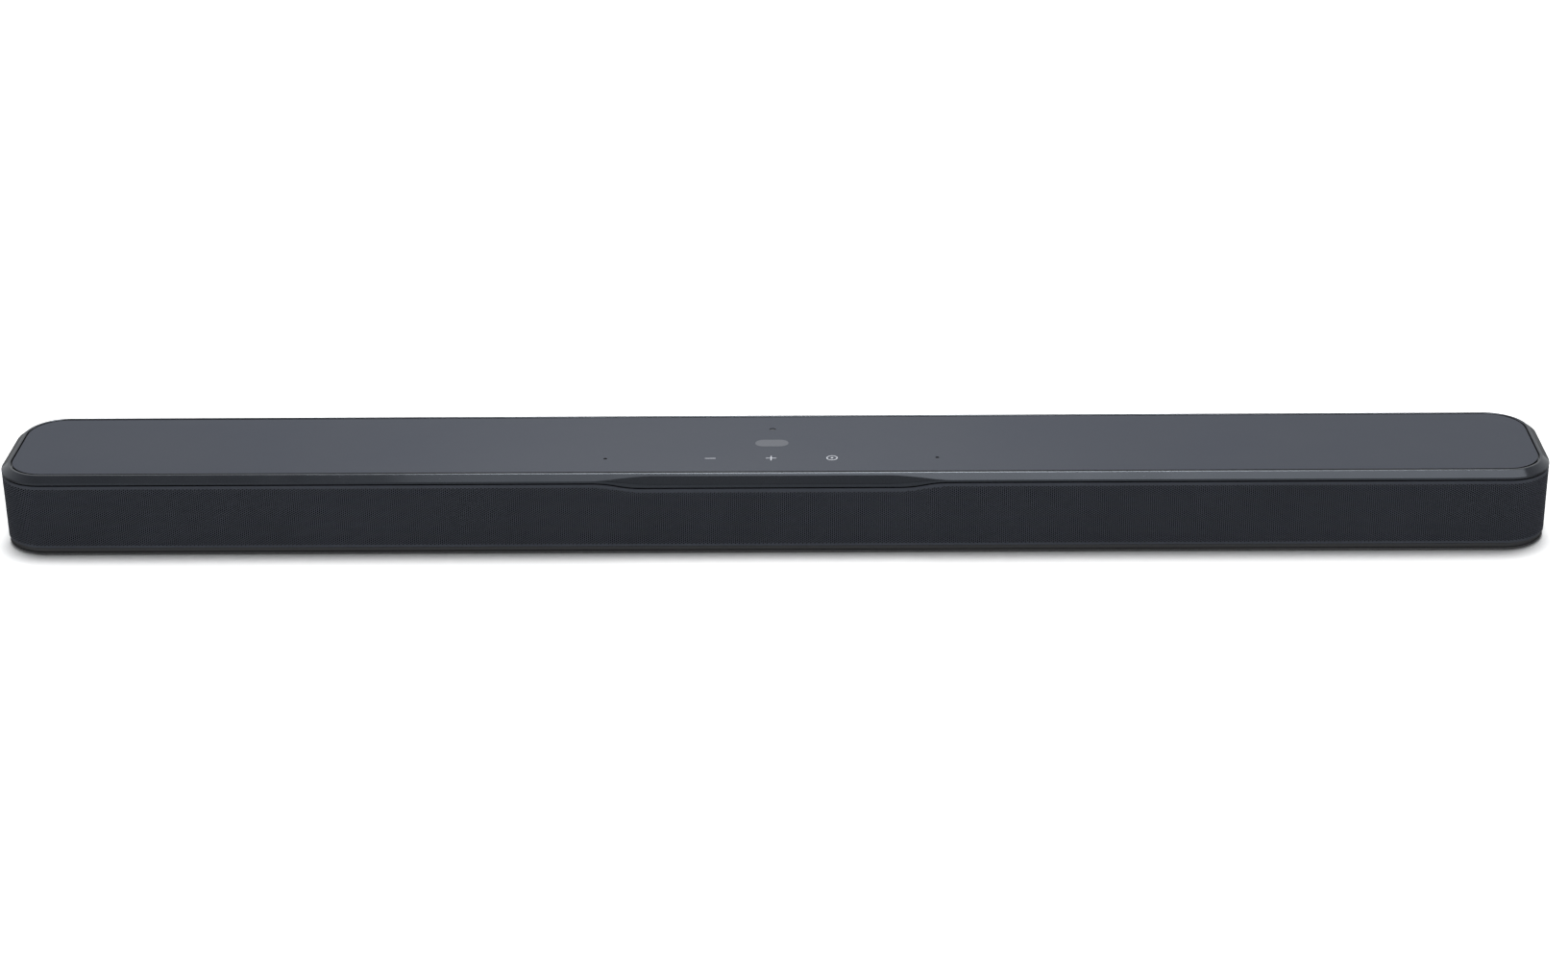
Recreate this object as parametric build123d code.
from build123d import *
import os

# A slim soundbar: a plastic cabinet with a wrap-round grille, a glossy trim ring,
# an inlaid touch panel, six drivers on a baffle and its electronics behind them.
# Millimetres. X runs along the bar, the front faces -Y, Z is up, and the origin is
# on the surface that it stands on, under its middle.

# ---- driving dimensions -------------------------------------------------------
LENGTH = 1017.0
DEPTH = 103.5
HEIGHT = 56.0
CORNER_R = 30.7

FRONT_Y = -DEPTH / 2
BACK_Y = DEPTH / 2

# Heights of the outer skin, from the feet up.
TRAY_Z = 1.2
TRAY_LIP_Z = 2.5
TRAY_TOP_Z = 5.0
GRILLE_LOW_Z = 5.6
GRILLE_TOP_Z = 50.1
SKIRT_Z = 50.9
CHAMFER_Z = 52.4
DECK_LOW_Z = 49.5
DECK_TOP_Z = 52.0
PANEL_LOW_Z = 54.0
PANEL_TOP_Z = 55.9

# Insets of the skin's layers from the outer outline.
TRAY_LIP_INSET = 0.4
TRAY_INSET = 1.2
GRILLE_T = 0.8
SCRIM_T = 0.3
SKIRT_T = 1.4
CHAMFER_RUN = 4.7
LIP_INSET = 6.4
PANEL_INSET = 7.4
LEDGE_INSET = 9.0
COVER_T = 2.8
WALL_INSET = 3.2
WALL_T = 2.5
GRILLE_END_Y = 15.4
COVER_END_Y = 16.0

# The brow: the trim's lower edge dips over the middle of the front, and a steeper
# face cuts the sloping one back to a crease.
BROW_FLAT = 84.0
BROW_END = 116.0
BROW_DROP = 3.3
BROW_CREASE = 2.6
BROW_STEEPNESS = 1.85
SEAM = GRILLE_LOW_Z - TRAY_TOP_Z

# Touch controls and microphones on the panel.
KEY_Y = -23.5
KEY_PITCH = 40.0
KEY_SIZE = 7.0
KEY_LINE = 0.7
INK_T = 0.25
MIC_X = 109.0
MIC_R = 1.25
REAR_MIC_R = 2.2

# Drivers.
BAFFLE_FRONT_Y = -44.0
BAFFLE_T = 4.0
BAFFLE_HALF = 466.0
GASKET_T = 0.8
DRIVER_Z = 27.25
DRIVER_Y = BAFFLE_FRONT_Y - GASKET_T
WOOFER_X = (-345.0, -165.0, 165.0, 345.0)
TWEETER_X = (-440.0, 440.0)
WOOFER_FLANGE = (88.0, 42.0)
WOOFER_OPENING = (78.0, 33.0)
WOOFER_CUTOUT = (80.0, 34.0)
CONE_RIM = (69.0, 24.0)
FLANGE_T = 2.0
ROLL_R = 2.25
COIL_R = 10.3
COIL_WALL = 0.6
COIL_GAP = 0.6
MAGNET_R = 20.0
WOOFER_SCREW = (38.0, 16.5)
TWEETER_FLANGE = 42.0
TWEETER_CUTOUT_R = 15.0
TWEETER_SCREW = (17.0, 17.0)
DRIVER_SHANK_R = 1.4
DRIVER_HOLE_R = 1.5

# Case screws, from below into posts under the deck.
POST_R = 4.0
PILOT_R = 1.6
SHANK_R = 1.5
HEAD_R = 3.0
HEAD_H = 1.5
REAR_POSTS = [(s * x, 36.0) for s in (-1, 1) for x in (100.0, 205.0, 310.0, 450.0)]
FRONT_POSTS = [(s * x, -34.0) for s in (-1, 1) for x in (80.0, 255.0, 404.0)]
POSTS = REAR_POSTS + FRONT_POSTS

# Feet.
FOOT_SIZE = (70.0, 14.0)
FOOT_X = 352.0
FOOT_Y = 30.0
FOOT_POCKET = 0.6

# Rear: ports, wall bracket threads, connector bay, mains inlet and vents.
PORT_X = 255.0
PORT_Z = 27.25
PORT_BORE = (40.0, 14.0)
PORT_WALL = 3.0
PORT_INNER_Y = 2.0
INSERT_X = 400.0
INSERT_Z = 28.0
INSERT_R = 3.0
THREAD_R = 2.0
INSERT_LEN = 8.0
BAY_HALF = 75.0
BAY_LOW_Z = 14.0
BAY_HIGH_Z = 42.0
BAY_WALL = 2.0
PLATE_Y = 37.5
PLATE_T = 1.5
INLET_X = 147.0
INLET_Z = 27.0
INLET_POCKET = (40.0, 26.0)
INLET_POCKET_Y = 35.75
INLET_BODY = (24.0, 15.0)
INLET_MOUTH_Y = 37.75
VENT_COUNT = 10
VENT_PITCH = 5.0
VENT_X = 176.0
VENT_SIZE = (2.0, 20.0)

# Boards.
BOARD_Z = 18.0
BOARD_T = 1.6
BOARD_TOP = BOARD_Z + BOARD_T
BOARD_HALF = 80.0
BOARD_Y = (-4.0, 35.5)
STANDOFFS = [(sx * 70.0, y) for sx in (-1, 1) for y in (2.0, 29.0)]
POWER_BOARD = (102.0, 228.0, -3.0, 29.0)
POWER_BOARD_Z = 8.0

# Sockets on the plate: centre along X, width and height, standing on the board.
HDMI_X = (-57.0, -33.0)
HDMI_SIZE = (15.4, 6.4)
OPTICAL_X = -8.0
OPTICAL_SIZE = (10.0, 11.0)
OPTICAL_BORE = (8.4, 8.0)
USB_X = 18.0
USB_SIZE = (14.6, 7.2)
ETHERNET_X = 48.0
ETHERNET_SIZE = (16.4, 13.6)
ETHERNET_BORE = (11.7, 8.4)
SOCKET_DEPTH = 13.5
SOCKET_GAP = 0.2


# ---- helpers --------------------------------------------------------------------
def block(x0, x1, y0, y1, z0, z1):
    centre = Pos((x0 + x1) / 2, (y0 + y1) / 2, (z0 + z1) / 2)
    return centre * Box(x1 - x0, y1 - y0, z1 - z0)


def outline(inset):
    return RectangleRounded(LENGTH - 2 * inset, DEPTH - 2 * inset, CORNER_R - inset)


def slab(inset, z0, z1):
    return Pos(0, 0, z0) * extrude(outline(inset), z1 - z0)


def ring(outer, inner, z0, z1):
    return Pos(0, 0, z0) * extrude(outline(outer) - outline(inner), z1 - z0)


def ahead_of(shape, y):
    return shape & block(-LENGTH, LENGTH, -DEPTH, y, -1, HEIGHT + 1)


def behind(shape, y):
    return shape & block(-LENGTH, LENGTH, y, DEPTH, -1, HEIGHT + 1)


def facing_front(x, y, z):
    """Local +Z points out of the front of the bar and local +Y points up."""
    return Pos(x, y, z) * Rot(90, 0, 0)


def facing_rear(x, y, z):
    """Local +Z points out of the back of the bar and local +Y points down."""
    return Pos(x, y, z) * Rot(-90, 0, 0)


def prism(sketch, z0, z1):
    return Pos(0, 0, z0) * extrude(sketch, z1 - z0)


def group(solids):
    return Part() + list(solids)


def brow_face(shift):
    """The area above the brow's S-shaped edge, lowered by shift, in X and Z."""
    side_z = SKIRT_Z - shift
    low_z = side_z - BROW_DROP
    mid_x = (BROW_FLAT + BROW_END) / 2
    mid_z = (side_z + low_z) / 2
    top_z = HEIGHT + 4
    edges = [
        TangentArc((-BROW_END, side_z), (-mid_x, mid_z), tangent=(1, 0)),
        TangentArc((-BROW_FLAT, low_z), (-mid_x, mid_z), tangent=(-1, 0)),
        Line((-BROW_FLAT, low_z), (BROW_FLAT, low_z)),
        TangentArc((BROW_FLAT, low_z), (mid_x, mid_z), tangent=(1, 0)),
        TangentArc((BROW_END, side_z), (mid_x, mid_z), tangent=(-1, 0)),
        Polyline((BROW_END, side_z), (BROW_END, top_z), (-BROW_END, top_z), (-BROW_END, side_z)),
    ]
    return make_face(Curve() + edges)


def brow_solid(shift, depth):
    """The brow area as a solid, from the bar's front face back by depth."""
    return facing_front(0, FRONT_Y + depth, 0) * extrude(brow_face(shift), depth)


# ---- cabinet --------------------------------------------------------------------
def base_tray():
    """The bottom plate with its lip, end walls, foot pockets, screw holes and standoffs."""
    lip = slab(TRAY_LIP_INSET, TRAY_Z, TRAY_LIP_Z)
    faces = lip.faces().sort_by(Axis.Z)
    lip = fillet(faces[0].edges() + faces[-1].edges(), 0.4)
    tray = lip + slab(TRAY_INSET, TRAY_Z + 1, TRAY_TOP_Z)
    walls = ring(WALL_INSET, WALL_INSET + WALL_T, TRAY_TOP_Z, DECK_LOW_Z)
    wall_start = BAFFLE_HALF + 4
    for side in (-1, 1):
        near, far = sorted((side * wall_start, side * LENGTH))
        tray += walls & block(near, far, -DEPTH, DEPTH, 0, HEIGHT)
    for x, y in STANDOFFS:
        tray += Pos(x, y, TRAY_TOP_Z) * prism(Circle(3), 0, BOARD_Z - TRAY_TOP_Z)
    pocket = RectangleRounded(FOOT_SIZE[0] + 0.2, FOOT_SIZE[1] + 0.2, 5)
    for x, y in foot_centres():
        tray -= Pos(x, y, TRAY_Z - 1) * extrude(pocket, 1 + FOOT_POCKET)
    for x, y in POSTS:
        tray -= Pos(x, y, 0) * prism(Circle(SHANK_R + 0.2), 0, TRAY_TOP_Z + 1)
        tray -= Pos(x, y, 0) * prism(Circle(HEAD_R + 0.2), 0, TRAY_Z + HEAD_H)
    return tray


def foot_centres():
    return [(sx * FOOT_X, sy * FOOT_Y) for sx in (-1, 1) for sy in (-1, 1)]


def rubber_feet():
    foot = extrude(RectangleRounded(*FOOT_SIZE, 5), TRAY_Z + FOOT_POCKET)
    foot = fillet(foot.faces().sort_by(Axis.Z)[0].outer_wire().edges(), 0.5)
    return group(Pos(x, y, 0) * foot for x, y in foot_centres())


def case_screws():
    head = prism(Circle(HEAD_R), TRAY_Z, TRAY_Z + HEAD_H)
    shank = prism(Circle(SHANK_R), TRAY_Z + HEAD_H, TRAY_TOP_Z + 11)
    recess = prism(RegularPolygon(1.3, 6), TRAY_Z - 1, TRAY_Z + 0.9)
    screw = head + shank - recess
    return group(Pos(x, y, 0) * screw for x, y in POSTS)


def top_deck():
    """The shelf under the trim ring and the panel, with its screw posts."""
    deck = slab(COVER_T + 0.2, DECK_LOW_Z, SKIRT_Z - 0.4)
    deck += slab(SKIRT_T + 0.2, SKIRT_Z - 0.4, DECK_TOP_Z)
    for x, y in POSTS:
        deck += Pos(x, y, 0) * prism(Circle(POST_R), TRAY_TOP_Z, DECK_LOW_Z)
    for x, y in POSTS:
        deck -= Pos(x, y, 0) * prism(Circle(PILOT_R), TRAY_TOP_Z - 1, TRAY_TOP_Z + 12)
    deck -= block(-12, 12, -6, 4, DECK_LOW_Z - 1, DECK_TOP_Z + 1)
    return deck


def front_baffle():
    """The driver wall, with cut-outs for the drivers and the display."""
    back_y = BAFFLE_FRONT_Y + BAFFLE_T
    wall = block(-BAFFLE_HALF, BAFFLE_HALF, BAFFLE_FRONT_Y, back_y, TRAY_TOP_Z, DECK_LOW_Z)
    cut = BAFFLE_T + 2
    for x in WOOFER_X:
        hole = extrude(SlotOverall(*WOOFER_CUTOUT), cut)
        wall -= facing_front(x, back_y + 1, DRIVER_Z) * hole
    for x in TWEETER_X:
        hole = extrude(Circle(TWEETER_CUTOUT_R), cut)
        wall -= facing_front(x, back_y + 1, DRIVER_Z) * hole
    for x, z in driver_screw_places():
        wall -= facing_front(x, back_y + 1, z) * extrude(Circle(DRIVER_HOLE_R), cut)
    wall -= block(-42, 42, BAFFLE_FRONT_Y - 1, back_y + 1, 18, 36)
    return wall


def bezel_trim():
    """The glossy ring round the panel: skirt, sloping face, top lip and panel ledge."""
    trim = slab(0, SKIRT_Z, CHAMFER_Z)
    slope_foot = Pos(0, 0, CHAMFER_Z) * outline(0)
    slope_head = Pos(0, 0, HEIGHT) * outline(CHAMFER_RUN)
    trim += loft([slope_foot, slope_head], ruled=True)
    trim -= slab(LEDGE_INSET, SKIRT_Z - 1, HEIGHT + 1)
    trim -= slab(LIP_INSET, PANEL_LOW_Z, HEIGHT + 1)
    trim -= slab(SKIRT_T, SKIRT_Z - 1, DECK_TOP_Z)
    trim += brow_solid(0, SKIRT_T) & block(-LENGTH, LENGTH, -DEPTH, 0, 0, SKIRT_Z + 0.5)
    return trim - brow_scoop()


def brow_scoop():
    """What the steeper face over the brow takes off the trim's sloping face."""
    out_y = FRONT_Y - 4

    def section(x, crease):
        crease_y = FRONT_Y + crease
        crease_z = CHAMFER_Z + crease * (HEIGHT - CHAMFER_Z) / CHAMFER_RUN
        low_z = crease_z - BROW_STEEPNESS * (crease_y - out_y)
        high_z = HEIGHT + 4
        corners = [(crease_y, crease_z), (out_y, low_z), (out_y, high_z), (crease_y, high_z)]
        across = Plane(origin=(x, 0, 0), x_dir=(0, 1, 0), z_dir=(1, 0, 0))
        return across * make_face(Polyline(*corners, close=True))

    sections = [
        section(-BROW_END, 0),
        section(-BROW_FLAT, BROW_CREASE),
        section(BROW_FLAT, BROW_CREASE),
        section(BROW_END, 0),
    ]
    return loft(sections, ruled=True)


def key_minus():
    return Rectangle(KEY_SIZE, KEY_LINE)


def key_plus():
    return Rectangle(KEY_SIZE, KEY_LINE) + Rectangle(KEY_LINE, KEY_SIZE)


def key_source():
    outer = KEY_SIZE / 2 + 0.2
    return Circle(outer) - Circle(outer - KEY_LINE) + Circle(0.9)


def key_marks():
    return [
        Pos(-KEY_PITCH, KEY_Y) * key_minus(),
        Pos(0, KEY_Y) * key_plus(),
        Pos(KEY_PITCH, KEY_Y) * key_source(),
    ]


def mic_places():
    return [(-MIC_X, KEY_Y, MIC_R), (MIC_X, KEY_Y, MIC_R), (0, -KEY_Y, REAR_MIC_R)]


def top_panel():
    """The flat matt panel, with pockets for the key marks and the microphone holes."""
    panel = slab(PANEL_INSET, PANEL_LOW_Z, PANEL_TOP_Z)
    panel = fillet(panel.faces().sort_by(Axis.Z)[-1].outer_wire().edges(), 0.3)
    for mark in key_marks():
        panel -= Pos(0, 0, PANEL_TOP_Z - INK_T) * extrude(mark, 1)
    for x, y, radius in mic_places():
        panel -= Pos(x, y, PANEL_LOW_Z - 1) * extrude(Circle(radius), 4)
    return panel


def key_icons():
    return group(Pos(0, 0, PANEL_TOP_Z - INK_T) * extrude(mark, INK_T) for mark in key_marks())


def front_grille():
    """The sheet that wraps the front and both ends, with its brow cut-out."""
    sheet = ring(0, GRILLE_T, GRILLE_LOW_Z, GRILLE_TOP_Z)
    return ahead_of(sheet, GRILLE_END_Y) - brow_solid(SKIRT_Z - GRILLE_TOP_Z, 5)


def grille_scrim():
    """The black cloth bonded behind the grille."""
    cloth = ring(GRILLE_T, GRILLE_T + SCRIM_T, GRILLE_LOW_Z + 0.8, GRILLE_TOP_Z - 0.8)
    return ahead_of(cloth, GRILLE_END_Y - 1) - brow_solid(SKIRT_Z - GRILLE_TOP_Z + 0.8, 5)


# ---- rear -----------------------------------------------------------------------
def rear_cover():
    """The back wall and rear corners, with its pockets, bosses, vents and port holes."""
    cover = behind(ring(0, COVER_T, TRAY_TOP_Z, SKIRT_Z - SEAM), COVER_END_Y)
    cover += block(
        -BAY_HALF - BAY_WALL, BAY_HALF + BAY_WALL, PLATE_Y, BACK_Y,
        BAY_LOW_Z - BAY_WALL, BAY_HIGH_Z + BAY_WALL,
    )
    cover -= block(-BAY_HALF, BAY_HALF, PLATE_Y - 1, BACK_Y + 1, BAY_LOW_Z, BAY_HIGH_Z)
    cover += inlet_pocket(BAY_WALL, INLET_POCKET_Y - BAY_WALL, BACK_Y)
    cover -= inlet_pocket(0, INLET_POCKET_Y, BACK_Y + 1)
    inlet_hole = RectangleRounded(INLET_BODY[0] + 0.4, INLET_BODY[1] + 0.4, 3)
    cover -= facing_rear(INLET_X, INLET_POCKET_Y - 4, INLET_Z) * extrude(inlet_hole, 6)
    for side in (-1, 1):
        boss = prism(Circle(INSERT_R + 2.5), 0, INSERT_LEN + 1)
        cover += facing_rear(side * INSERT_X, BACK_Y - INSERT_LEN - 2, INSERT_Z) * boss
        bore = prism(Circle(INSERT_R), 0, INSERT_LEN + 1)
        cover -= facing_rear(side * INSERT_X, BACK_Y - INSERT_LEN, INSERT_Z) * bore
        hole = SlotOverall(PORT_BORE[0] + 2 * PORT_WALL + 0.4, PORT_BORE[1] + 2 * PORT_WALL + 0.4)
        cover -= facing_rear(side * PORT_X, BACK_Y - 5, PORT_Z) * extrude(hole, 6)
    slot = Rot(0, 0, 90) * SlotOverall(VENT_SIZE[1], VENT_SIZE[0])
    for i in range(VENT_COUNT):
        for side in (-1, 1):
            x = side * (VENT_X + i * VENT_PITCH)
            cover -= facing_rear(x, BACK_Y - 5, PORT_Z) * extrude(slot, 6)
    return cover


def inlet_pocket(grow, y0, y1):
    half_w = INLET_POCKET[0] / 2 + grow
    half_h = INLET_POCKET[1] / 2 + grow
    return block(INLET_X - half_w, INLET_X + half_w, y0, y1, INLET_Z - half_h, INLET_Z + half_h)


def bass_ports():
    """Two slot-shaped port tubes with a flange behind the cover and flared mouths."""
    outer = SlotOverall(PORT_BORE[0] + 2 * PORT_WALL, PORT_BORE[1] + 2 * PORT_WALL)
    bore = SlotOverall(*PORT_BORE)
    length = BACK_Y - PORT_INNER_Y
    tube = extrude(outer, length)
    flange_top = length - COVER_T
    tube += prism(SlotOverall(PORT_BORE[0] + 14, PORT_BORE[1] + 14), flange_top - 2, flange_top)
    tube -= prism(bore, -1, length + 1)
    mouth = tube.faces().sort_by(Axis.Z)[-1].inner_wires()[0].edges()
    tube = fillet(mouth, 2.4)
    return group(facing_rear(side * PORT_X, PORT_INNER_Y, PORT_Z) * tube for side in (-1, 1))


def wall_mount_inserts():
    insert = prism(Circle(INSERT_R) - Circle(THREAD_R), 0, INSERT_LEN)
    return group(
        facing_rear(side * INSERT_X, BACK_Y - INSERT_LEN, INSERT_Z) * insert for side in (-1, 1)
    )


def socket_box(x, size, gap):
    """Outline of a socket body on the board, grown by gap, as x0, x1, z0, z1."""
    half = size[0] / 2 + gap
    return x - half, x + half, BOARD_TOP - gap, BOARD_TOP + size[1] + gap


def socket_bodies():
    places = [(x, HDMI_SIZE) for x in HDMI_X]
    places += [(OPTICAL_X, OPTICAL_SIZE), (USB_X, USB_SIZE), (ETHERNET_X, ETHERNET_SIZE)]
    return places


def connector_plate():
    plate = block(
        -BAY_HALF - BAY_WALL, BAY_HALF + BAY_WALL, PLATE_Y - PLATE_T, PLATE_Y,
        BAY_LOW_Z - BAY_WALL, BAY_HIGH_Z + BAY_WALL,
    )
    for x, size in socket_bodies():
        x0, x1, z0, z1 = socket_box(x, size, SOCKET_GAP)
        plate -= block(x0, x1, PLATE_Y - 4, PLATE_Y + 2, z0, z1)
    return plate


def socket_shell(x, size, bore, depth, low_z):
    """A block on the board with a rectangular cavity in its rear face."""
    x0, x1, z0, z1 = socket_box(x, size, 0)
    shell = block(x0, x1, PLATE_Y - SOCKET_DEPTH, PLATE_Y, z0, z1)
    half = bore[0] / 2
    return shell - block(x - half, x + half, PLATE_Y - depth, PLATE_Y + 1, low_z, low_z + bore[1])


def hdmi_sockets():
    """Two D-shaped sockets, each with its contact tongue."""
    solids = []
    for x in HDMI_X:
        low_z = BOARD_TOP + 0.9
        mouth = Polyline(
            (-5.0, 0), (5.0, 0), (7.0, 2.2), (7.0, 4.6), (-7.0, 4.6), (-7.0, 2.2), close=True
        )
        cavity = facing_front(x, PLATE_Y + 1, low_z) * extrude(make_face(mouth), 11)
        x0, x1, z0, z1 = socket_box(x, HDMI_SIZE, 0)
        shell = block(x0, x1, PLATE_Y - SOCKET_DEPTH, PLATE_Y, z0, z1) - cavity
        tongue = block(x - 5.5, x + 5.5, PLATE_Y - 11, PLATE_Y - 1.5, low_z + 2.4, low_z + 3.3)
        solids.append(shell + tongue)
    return group(solids)


def usb_socket():
    low_z = BOARD_TOP + 1.1
    shell = socket_shell(USB_X, USB_SIZE, (12.5, 5.1), 11, low_z)
    tongue = block(USB_X - 5.6, USB_X + 5.6, PLATE_Y - 12, PLATE_Y - 1.5, low_z + 2.6, low_z + 4.4)
    return shell + tongue


def ethernet_socket():
    low_z = BOARD_TOP + 2.9
    shell = socket_shell(ETHERNET_X, ETHERNET_SIZE, ETHERNET_BORE, 12, low_z)
    latch = block(ETHERNET_X - 3, ETHERNET_X + 3, PLATE_Y - 9, PLATE_Y + 1, low_z - 1.6, low_z + 1)
    return shell - latch


def optical_bore_z():
    """Floor of the optical socket's cavity."""
    return BOARD_TOP + (OPTICAL_SIZE[1] - OPTICAL_BORE[1]) / 2


def optical_socket():
    return socket_shell(OPTICAL_X, OPTICAL_SIZE, OPTICAL_BORE, 11, optical_bore_z())


def optical_shutter():
    """The sprung flap that closes the optical socket, hinged at its top edge."""
    pivot_z = optical_bore_z() + OPTICAL_BORE[1] - 0.6
    pivot_y = PLATE_Y - 0.6
    flap = block(
        OPTICAL_X - 4.0, OPTICAL_X + 4.0, pivot_y - 0.35, pivot_y + 0.35,
        optical_bore_z() + 0.15, pivot_z,
    )
    pin = Pos(OPTICAL_X, pivot_y, pivot_z) * Rot(0, 90, 0) * Cylinder(0.45, 8.0)
    return flap + pin


def ac_inlet():
    """A two-pin figure-of-eight mains inlet, held by a flange behind the pocket."""
    length = INLET_MOUTH_Y - 14
    body = extrude(RectangleRounded(*INLET_BODY, 3), length)
    flange_top = INLET_POCKET_Y - BAY_WALL - 14
    flange = RectangleRounded(INLET_BODY[0] + 6, INLET_BODY[1] + 4, 3)
    body += prism(flange, flange_top - 2, flange_top)
    bore = Pos(-4.3, 0) * Circle(4.3) + Pos(4.3, 0) * Circle(4.3) + Rectangle(8.6, 8.0)
    body -= prism(bore, length - 12, length + 1)
    for side in (-1, 1):
        body += Pos(side * 4.3, 0, 0) * prism(Circle(1.2), length - 12.5, length - 2)
    return facing_rear(INLET_X, 14, INLET_Z) * body


# ---- drivers --------------------------------------------------------------------
def driver_screw_places():
    places = []
    for centres, (dx, dz) in ((WOOFER_X, WOOFER_SCREW), (TWEETER_X, TWEETER_SCREW)):
        for x in centres:
            places += [(x + sx * dx, DRIVER_Z + sz * dz) for sx in (-1, 1) for sz in (-1, 1)]
    return places


def driver_screws():
    head = prism(Circle(2.3), FLANGE_T, FLANGE_T + 1.4)
    head -= prism(RegularPolygon(1.2, 6), FLANGE_T + 0.6, 4)
    screw = head + prism(Circle(DRIVER_SHANK_R), -GASKET_T - BAFFLE_T, FLANGE_T)
    return group(facing_front(x, DRIVER_Y, z) * screw for x, z in driver_screw_places())


def driver_gaskets():
    """Foam rings between the driver flanges and the baffle."""
    woofer = RectangleRounded(*WOOFER_FLANGE, 7) - SlotOverall(*WOOFER_CUTOUT)
    for sx in (-1, 1):
        for sz in (-1, 1):
            woofer -= Pos(sx * WOOFER_SCREW[0], sz * WOOFER_SCREW[1]) * Circle(DRIVER_HOLE_R)
    tweeter = RectangleRounded(TWEETER_FLANGE, TWEETER_FLANGE, 6) - Circle(TWEETER_CUTOUT_R)
    for sx in (-1, 1):
        for sz in (-1, 1):
            tweeter -= Pos(sx * TWEETER_SCREW[0], sz * TWEETER_SCREW[1]) * Circle(DRIVER_HOLE_R)
    solids = []
    for face, places in ((woofer, WOOFER_X), (tweeter, TWEETER_X)):
        for x in places:
            solids.append(facing_front(x, BAFFLE_FRONT_Y, DRIVER_Z) * extrude(face, GASKET_T))
    return group(solids)


def screw_holes(places):
    dx, dz = places
    hole = prism(Circle(DRIVER_HOLE_R), -1, FLANGE_T + 1)
    return [Pos(sx * dx, sz * dz, 0) * hole for sx in (-1, 1) for sz in (-1, 1)]


def woofer_basket():
    """Flange, four legs, back ring and spider ledge of a racetrack woofer."""
    flange = extrude(RectangleRounded(*WOOFER_FLANGE, 7), FLANGE_T)
    flange -= prism(SlotOverall(*WOOFER_OPENING), -1, FLANGE_T + 1)
    for hole in screw_holes(WOOFER_SCREW):
        flange -= hole
    flange += prism(SlotOverall(79, 33.6) - SlotOverall(74, 29), -4, 0)
    basket = flange + prism(Circle(MAGNET_R) - Circle(12.5), -20, -18)
    basket += prism(Circle(18.5) - Circle(15.5), -18, -14.5)
    leg_side = Polyline(
        (37.0, -0.5), (34.8, -0.5), (34.8, -4), (15.5, -18), (15.5, -20), (20, -20), (37.0, -5),
        close=True,
    )
    leg = extrude(make_face(leg_side), 5)
    for side in (0, 180):
        for offset in (-8.5, 3.5):
            basket += Rot(0, 0, side) * Pos(0, offset + 5, 0) * Rot(90, 0, 0) * leg
    return basket


def woofer_magnet():
    """Back plate, pole, ring magnet and front plate, with the gap for the voice coil."""
    gap_outer = COIL_R + COIL_GAP
    gap_inner = COIL_R - COIL_WALL - COIL_GAP
    body = prism(Circle(MAGNET_R), -36, -20)
    body -= prism(Circle(gap_outer) - Circle(gap_inner), -33, -19)
    groove = prism(Circle(MAGNET_R + 1) - Circle(MAGNET_R - 1.2), -32, -23)
    return body - groove


def woofer_cone():
    """Paper cone with its dust cap, coil former and winding."""
    rim_z = 1.5
    throat_z = -9.0
    skin = 0.8
    profile = [Pos(0, 0, throat_z) * Circle(COIL_R), Pos(0, 0, rim_z) * SlotOverall(*CONE_RIM)]
    bowl = loft(profile)
    cone = bowl - Pos(0, 0, skin) * bowl
    cone -= prism(Circle(COIL_R - COIL_WALL), throat_z - 1, throat_z + 2)
    cone += prism(Circle(COIL_R) - Circle(COIL_R - COIL_WALL), -27, throat_z + 0.4)
    cap_r = 16.0
    cap_z = -20.5
    ball = Pos(0, 0, cap_z) * (Sphere(cap_r) - Sphere(cap_r - 0.7))
    cap = ball & prism(Circle(10.4), throat_z + 0.5, 0)
    return cone + cap


def slot_path(length, width, z):
    """A closed slot-shaped line, starting in the middle of its right end."""
    r = width / 2
    half = length / 2 - r
    return Wire(
        [
            ThreePointArc((half, -r, z), (half + r, 0, z), (half, r, z)),
            Line((half, r, z), (-half, r, z)),
            ThreePointArc((-half, r, z), (-half - r, 0, z), (-half, -r, z)),
            Line((-half, -r, z), (half, -r, z)),
        ]
    )


def woofer_surround():
    """Rubber half-roll between the cone's rim and the flange."""
    mid = (CONE_RIM[0] + 2 * ROLL_R, CONE_RIM[1] + 2 * ROLL_R)
    outer = ROLL_R + 0.25
    inner = ROLL_R - 0.25
    base = FLANGE_T
    inner_ring = SlotOverall(mid[0] - 2 * inner, mid[1] - 2 * inner) - SlotOverall(66, 21)
    outer_ring = SlotOverall(82, 37) - SlotOverall(mid[0] + 2 * inner, mid[1] + 2 * inner)
    inner_lip = prism(inner_ring, base - 0.5, base)
    outer_lip = prism(outer_ring, base, base + 0.5)
    half_ring = Circle(outer) - Circle(inner)
    half_ring &= Pos(0, outer) * Rectangle(4 * outer, 2 * outer)
    start = slot_path(*mid, base)
    section = Plane(origin=start @ 0, x_dir=(0, 1, 0), z_dir=(1, 0, 0)) * half_ring
    roll = sweep(section, path=start)
    return roll + inner_lip + outer_lip


def woofer_spider():
    """Corrugated suspension disc between the coil former and the basket's ledge."""
    low = -14.5
    thick = 0.5
    hub = (COIL_R + 0.05, 0)
    steps = [hub, (12.0, 0), (12.8, 0.7), (13.6, 0), (14.4, 0.7), (15.2, 0), (18.0, 0)]
    lower = [(r, low + h) for r, h in steps]
    upper = [(r, low + h + thick) for r, h in reversed(steps)]
    section = Plane.XZ * make_face(Polyline(*lower, *upper, close=True))
    return revolve(section, Axis.Z)


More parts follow.
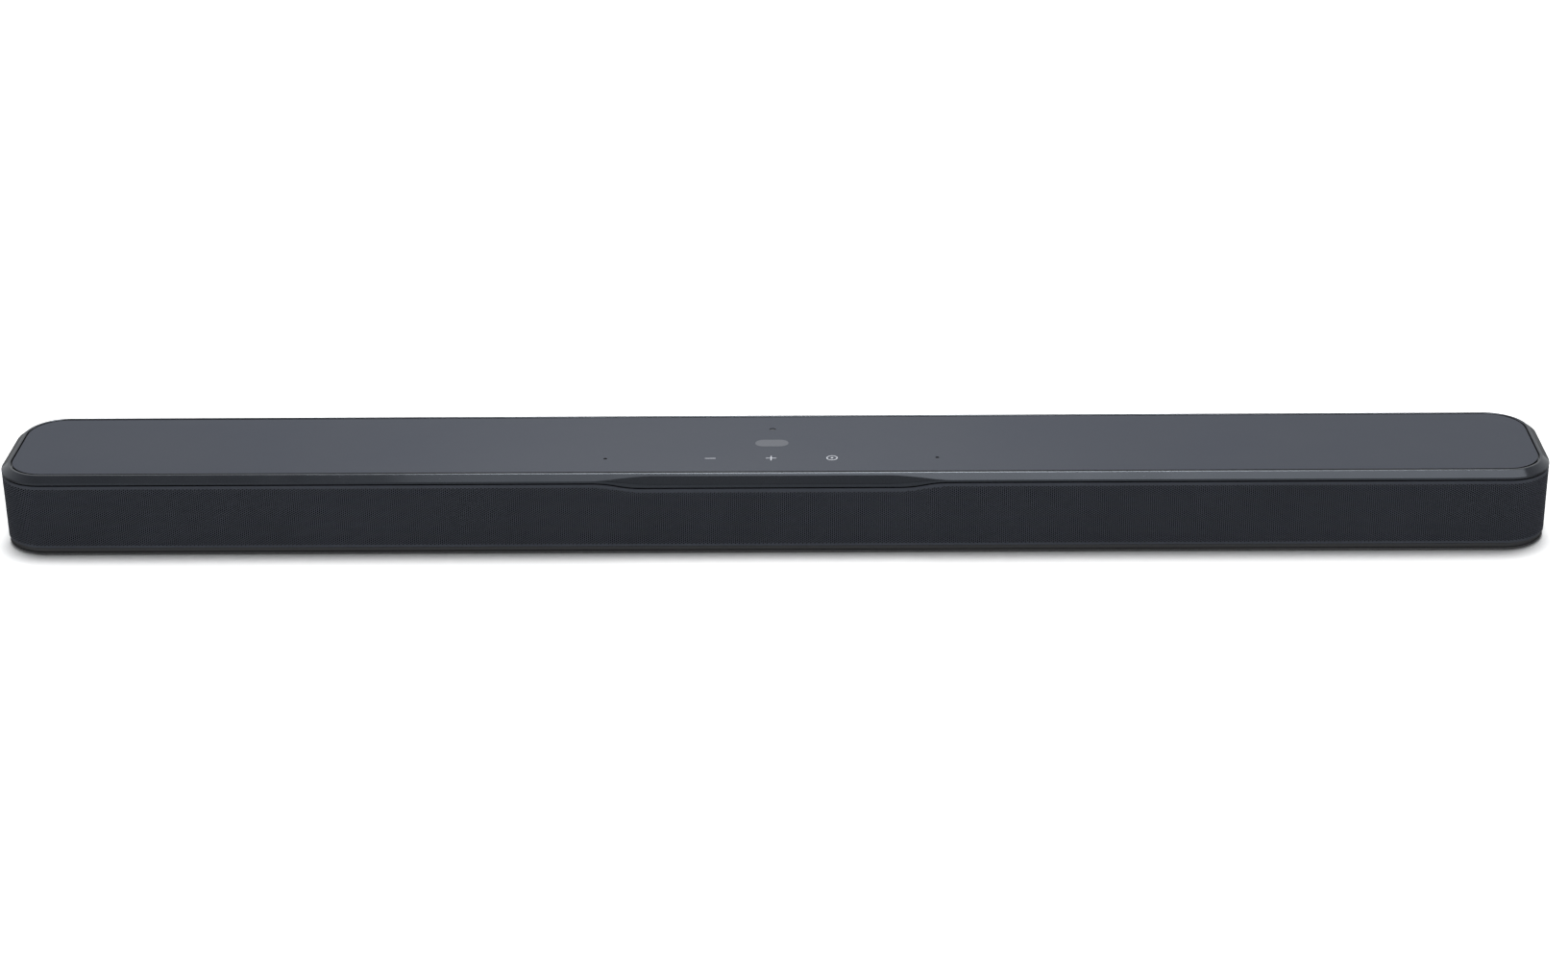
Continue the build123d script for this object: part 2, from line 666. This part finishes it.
def tweeter_housing():
    """Square flange with a short horn, over a round motor with its coil gap."""
    body = extrude(RectangleRounded(TWEETER_FLANGE, TWEETER_FLANGE, 6), FLANGE_T)
    body += prism(Circle(14.5), -15, 0)
    horn = Pos(0, 0, -3) * Cone(11.0, 15.0, 5.01, align=(Align.CENTER, Align.CENTER, Align.MIN))
    body -= horn
    body -= prism(Circle(10.6) - Circle(9.0), -12, -2.9)
    for hole in screw_holes(TWEETER_SCREW):
        body -= hole
    return body


def tweeter_dome():
    """Silk dome on its coil former, clear of the housing all round."""
    radius = 14.5
    centre_z = -12.9
    ball = Pos(0, 0, centre_z) * (Sphere(radius) - Sphere(radius - 0.5))
    dome = ball & prism(Circle(10.0), -2.6, 4)
    return dome + prism(Circle(10.0) - Circle(9.5), -8, -2.3)


# ---- electronics ------------------------------------------------------------------
def main_board():
    board = block(-BOARD_HALF, BOARD_HALF, *BOARD_Y, BOARD_Z, BOARD_TOP)
    for x, y in STANDOFFS:
        board -= Pos(x, y, 0) * prism(Circle(1.6), BOARD_Z - 1, BOARD_TOP + 1)
    return board


def board_chips():
    """Processor, memory, radio controller, amplifiers and filter coils."""
    chips = [(0, 8, 17, 17, 1.4), (22, 8, 9, 12, 1.0), (-22, 8, 9, 9, 1.0), (58, 10, 12, 12, 1.6)]
    solids = [box_on_board(*chip) for chip in chips]
    solids += [box_on_board(x, 12, 8, 8, 1.4) for x in (-60, -47)]
    solids += [box_on_board(x, -1, 7, 5, 5.0) for x in (-66, -57, -48, -39)]
    return group(solids)


def box_on_board(x, y, width, depth, height):
    return Pos(x, y, BOARD_TOP + height / 2) * Box(width, depth, height)


def heat_sink():
    """Finned aluminium block over the amplifier chips."""
    base_z = BOARD_TOP + 1.4
    sink = block(-68, -39, 5, 20, base_z, base_z + 3)
    for i in range(8):
        x = -68 + i * 3.93
        sink += block(x, x + 1.5, 5, 20, base_z + 3, base_z + 14)
    return sink


def power_board():
    x0, x1, y0, y1 = POWER_BOARD
    board = block(x0, x1, y0, y1, POWER_BOARD_Z, POWER_BOARD_Z + BOARD_T)
    for x in (x0 + 4, x1 - 4):
        for y in (y0 + 4, y1 - 4):
            board += Pos(x, y, 0) * prism(Circle(2.5), TRAY_TOP_Z, POWER_BOARD_Z)
    return board


def transformer():
    """Ferrite core round a wound bobbin."""
    low = POWER_BOARD_Z + BOARD_T
    core = block(181, 215, 2, 26, low, low + 22)
    core -= block(186, 194, 1, 27, low + 4, low + 18)
    core -= block(202, 210, 1, 27, low + 4, low + 18)
    winding = block(187, 193, -1, 28.5, low + 5, low + 17)
    winding += block(203, 209, -1, 28.5, low + 5, low + 17)
    winding += block(187, 209, -1, 2, low + 5, low + 17)
    return core + winding


def filter_capacitors():
    low = POWER_BOARD_Z + BOARD_T
    can = fillet(Cylinder(8, 26).edges().filter_by(GeomType.CIRCLE), 1.0)
    solids = [Pos(x, 5, low + 13) * can for x in (112, 130.5)]
    small = fillet(Cylinder(4, 16).edges().filter_by(GeomType.CIRCLE), 0.6)
    solids += [Pos(x, 4, low + 8) * small for x in (152, 162, 172)]
    return group(solids)


def wireless_module():
    """Radio board with its shield can, on two foam pads."""
    board = block(-135, -103, 6, 28, BOARD_Z, BOARD_Z + 1.0)
    can = block(-132, -112, 9, 25, BOARD_Z + 1.0, BOARD_Z + 3.4)
    pads = block(-133, -127, 10, 24, TRAY_TOP_Z, BOARD_Z)
    pads += block(-111, -105, 10, 24, TRAY_TOP_Z, BOARD_Z)
    return board + can + pads


def antenna_strips():
    strip = block(-22, 22, -4, 4, DECK_LOW_Z - 0.8, DECK_LOW_Z)
    return group(Pos(side * 375, 20, 0) * strip for side in (-1, 1))


def touch_board():
    return block(-62, 62, KEY_Y - 9, KEY_Y + 11, DECK_TOP_Z, DECK_TOP_Z + 1.0)


def key_light_guides():
    guide = block(-5.5, 5.5, -5.5, 5.5, DECK_TOP_Z + 1.0, PANEL_LOW_Z)
    return group(Pos(i * KEY_PITCH, KEY_Y, 0) * guide for i in (-1, 0, 1))


def mic_boards():
    board = block(-8, 8, -6, 6, DECK_TOP_Z, DECK_TOP_Z + 0.8)
    return group(Pos(x, y, 0) * board for x, y, _ in mic_places())


def mic_boots():
    """Rubber rings that seal each microphone to the underside of the panel."""
    low = DECK_TOP_Z + 0.8
    return group(
        Pos(x, y, 0) * prism(Circle(radius + 2.2) - Circle(radius), low, PANEL_LOW_Z)
        for x, y, radius in mic_places()
    )


def display_board():
    """Segment display and remote-control eye, behind a window in the baffle."""
    back_y = BAFFLE_FRONT_Y + BAFFLE_T
    board = block(-50, 50, back_y, back_y + 1.6, 15, 39)
    board += block(-38, 20, BAFFLE_FRONT_Y - 2, back_y, 20, 34)
    eye = facing_front(32, back_y, 27) * prism(Circle(4), 0, BAFFLE_T + 1)
    return board + eye


def wiring_harness():
    """Flat ribbon along the tray, with a riser to each driver and to the main board."""
    thick = 1.4
    low = TRAY_TOP_Z
    y0, y1 = -29.0, -23.0
    harness = block(-446, 446, y0, y1, low, low + thick)
    for x in WOOFER_X:
        harness += block(x + 27, x + 31, y0, y0 + thick, low, 20)
    for x in TWEETER_X:
        harness += block(x - 2, x + 2, y0, y0 + thick, low, 16)
    harness += block(-3, 3, y1, -5, low, low + thick)
    harness += block(-3, 3, -6.4, -5, low, BOARD_TOP)
    return harness


# ---- write one STEP per node -------------------------------------------------------
def nodes():
    whole = [
        base_tray, rear_cover, top_deck, front_baffle, bezel_trim, top_panel, key_icons,
        front_grille, grille_scrim, rubber_feet, case_screws, bass_ports, wall_mount_inserts,
        connector_plate, hdmi_sockets, usb_socket, ethernet_socket, optical_socket,
        optical_shutter, ac_inlet, driver_screws, driver_gaskets, main_board, board_chips,
        heat_sink, power_board, transformer, filter_capacitors, wireless_module,
        antenna_strips, touch_board, key_light_guides, mic_boards, mic_boots, display_board,
        wiring_harness,
    ]
    made = {make.__name__: make() for make in whole}
    woofer = {
        "basket": woofer_basket(),
        "magnet": woofer_magnet(),
        "cone": woofer_cone(),
        "surround": woofer_surround(),
        "spider": woofer_spider(),
    }
    for number, x in enumerate(WOOFER_X, start=1):
        for piece, shape in woofer.items():
            made[f"woofer_{number}_{piece}"] = facing_front(x, DRIVER_Y, DRIVER_Z) * shape
    tweeter = {"housing": tweeter_housing(), "dome": tweeter_dome()}
    for side, x in zip(("left", "right"), TWEETER_X):
        for piece, shape in tweeter.items():
            made[f"{side}_tweeter_{piece}"] = facing_front(x, DRIVER_Y, DRIVER_Z) * shape
    return made


def main():
    os.makedirs("parts", exist_ok=True)
    for name, shape in nodes().items():
        export_step(shape, f"parts/{name}.step")
        print(name, len(shape.solids()), "solid(s),", round(shape.volume / 1000, 2), "cm3")


main()
